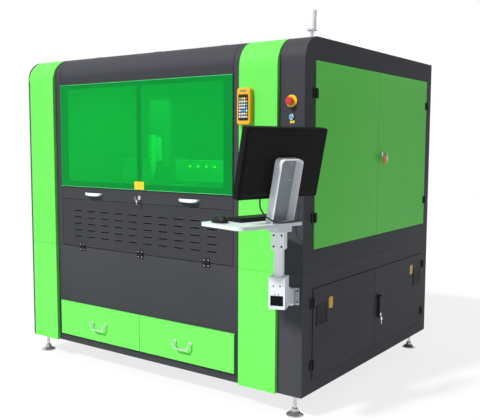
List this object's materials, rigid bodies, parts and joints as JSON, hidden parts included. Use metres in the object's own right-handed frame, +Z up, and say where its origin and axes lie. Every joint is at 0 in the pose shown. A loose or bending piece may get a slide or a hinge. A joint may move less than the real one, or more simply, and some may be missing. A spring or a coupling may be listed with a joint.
{
  "type": "fiber laser cutting machine",
  "caption": "Enclosed laser cutting machine with a lift-up windowed cover, louvred flap, scrap drawers, side doors, gantry and cutting head, and a swing-arm workstation.",
  "frame": {"origin": "on the floor, under the middle of the whole outline, workstation and exhaust spigot included", "axes": "+Z up, -Y out of the front with the cover and drawers, +X towards the side with the four doors"},
  "size_m": [2.2256, 2.243, 2.048],
  "materials": {
    "green": "fine textured powder coat",
    "dark": "fine textured powder coat",
    "frame": "matt paint",
    "white": "satin powder coat",
    "steel": "brushed",
    "chrome": "polished",
    "aluminium": "anodised",
    "window": "tinted, polished",
    "black": "matt",
    "grey": "matt",
    "screen": "gloss and satin",
    "red": "gloss",
    "yellow": "gloss",
    "start": "gloss",
    "lens": "translucent, ribbed",
    "cord": "satin jacket",
    "feet": "zinc plated"
  },
  "bodies": {
    "cabinet": {"base_frame": "frame", "base_front_panel": "dark", "left_side_panels": "dark", "base_right_panel": "dark", "right_side_panel": "dark", "rear_panels": "dark", "roof_panel": "dark", "front_strips": "dark", "left_pillar_covers": "green", "right_pillar_covers": "green", "levelling_feet": "feet", "hinge_leaves": "black", "drawer_slides": "steel", "exhaust_spigot": "steel", "lamp_base": "aluminium", "lamp_lens": "lens", "button_collars": "yellow", "pendant": "yellow", "arm_wall_plate": "white", "bulkhead": "steel", "electrical_panel": "grey", "laser_source": "white", "water_chiller": "white", "bed_frame": "frame", "linear_rails": "steel", "slat_frame": "frame", "support_slats": "steel", "scrap_chute": "steel"},
    "cover": {"cover_shell": "dark", "window_panes": "window", "cover_handles": "chrome"},
    "cover_key": {"cover_key": "chrome"},
    "flap": {"louvre_flap": "dark"},
    "drawer_left": {"drawer_left": "green", "drawer_left_handle": "chrome"},
    "drawer_right": {"drawer_right": "green", "drawer_right_handle": "chrome"},
    "upper_front_door": {"upper_front_door": "green"},
    "upper_rear_door": {"upper_rear_door": "green"},
    "lower_front_door": {"lower_front_door": "dark"},
    "lower_rear_door": {"lower_rear_door": "dark"},
    "upper_key": {"upper_key": "chrome"},
    "handle_hub": {"handle_hub": "chrome"},
    "lower_handle": {"lower_handle": "black"},
    "gantry": {"gantry_beam": "aluminium", "gantry_trucks": "steel"},
    "carriage": {"carriage": "white"},
    "cutting_head": {"cutting_head": "aluminium"},
    "estop_button": {"estop_button": "red"},
    "start_button": {"start_button": "start"},
    "arm": {"arm_beam": "white", "post": "white"},
    "workstation": {"tray": "white", "monitor_channel": "white", "monitor": "screen", "keyboard": "black", "mouse": "black", "monitor_cable": "cord", "keyboard_lead": "cord"}
  },
  "joints": [
    {"name": "cover_lift", "type": "hinge", "parent": "cabinet", "child": "cover", "pos_m": [-0.13929, -0.42661, 1.905], "axis": [-1, 0, 0], "range_deg": [0, 75]},
    {"name": "cover_key_turn", "type": "hinge", "parent": "cover", "child": "cover_key", "pos_m": [-0.13929, -0.58811, 1.066], "axis": [0, 1, 0], "range_deg": [0, 90]},
    {"name": "flap_drop", "type": "hinge", "parent": "cabinet", "child": "flap", "pos_m": [-0.13929, -0.59311, 0.7385], "axis": [1, 0, 0], "range_deg": [0, 90]},
    {"name": "drawer_left_slide", "type": "slide", "parent": "cabinet", "child": "drawer_left", "axis": [0, -1, 0], "range_m": [0, 0.48]},
    {"name": "drawer_right_slide", "type": "slide", "parent": "cabinet", "child": "drawer_right", "axis": [0, -1, 0], "range_m": [0, 0.48]},
    {"name": "upper_front_door_swing", "type": "hinge", "parent": "cabinet", "child": "upper_front_door", "pos_m": [0.95871, -0.48661, 1.319], "axis": [0, 0, -1], "range_deg": [0, 90]},
    {"name": "upper_rear_door_swing", "type": "hinge", "parent": "cabinet", "child": "upper_rear_door", "pos_m": [0.95871, 0.97439, 1.319], "axis": [0, 0, 1], "range_deg": [0, 90]},
    {"name": "lower_front_door_swing", "type": "hinge", "parent": "cabinet", "child": "lower_front_door", "pos_m": [0.95871, -0.48661, 0.421], "axis": [0, 0, -1], "range_deg": [0, 90]},
    {"name": "lower_rear_door_swing", "type": "hinge", "parent": "cabinet", "child": "lower_rear_door", "pos_m": [0.95871, 0.97439, 0.421], "axis": [0, 0, 1], "range_deg": [0, 90]},
    {"name": "upper_key_turn", "type": "hinge", "parent": "upper_rear_door", "child": "upper_key", "pos_m": [0.95371, 0.28989, 1.321], "axis": [1, 0, 0], "range_deg": [0, 90]},
    {"name": "handle_turn", "type": "hinge", "parent": "lower_rear_door", "child": "handle_hub", "pos_m": [0.95371, 0.28989, 0.478], "axis": [1, 0, 0], "range_deg": [0, 90]},
    {"name": "handle_lift", "type": "hinge", "parent": "handle_hub", "child": "lower_handle", "pos_m": [0.96411, 0.28989, 0.478], "axis": [0, -1, 0], "range_deg": [0, 40]},
    {"name": "gantry_travel", "type": "slide", "parent": "cabinet", "child": "gantry", "axis": [0, 1, 0], "range_m": [-0.38, 0.5]},
    {"name": "carriage_travel", "type": "slide", "parent": "gantry", "child": "carriage", "axis": [1, 0, 0], "range_m": [-0.27, 1]},
    {"name": "head_lift", "type": "slide", "parent": "carriage", "child": "cutting_head", "axis": [0, 0, 1], "range_m": [-0.12, 0.06]},
    {"name": "estop_press", "type": "slide", "parent": "cabinet", "child": "estop_button", "axis": [0, 1, 0], "range_m": [0, 0.005]},
    {"name": "start_press", "type": "slide", "parent": "cabinet", "child": "start_button", "axis": [0, 1, 0], "range_m": [0, 0.003], "stiffness_N_per_m": 900, "springref_m": -0.002},
    {"name": "arm_swing", "type": "hinge", "parent": "cabinet", "child": "arm", "pos_m": [0.90171, -0.61211, 0.631], "axis": [0, 0, 1], "range_deg": [-25, 30]},
    {"name": "tray_swivel", "type": "hinge", "parent": "arm", "child": "workstation", "pos_m": [0.98798, -0.86267, 0.985], "axis": [0, 0, 1], "range_deg": [-15, 100]}
  ]
}
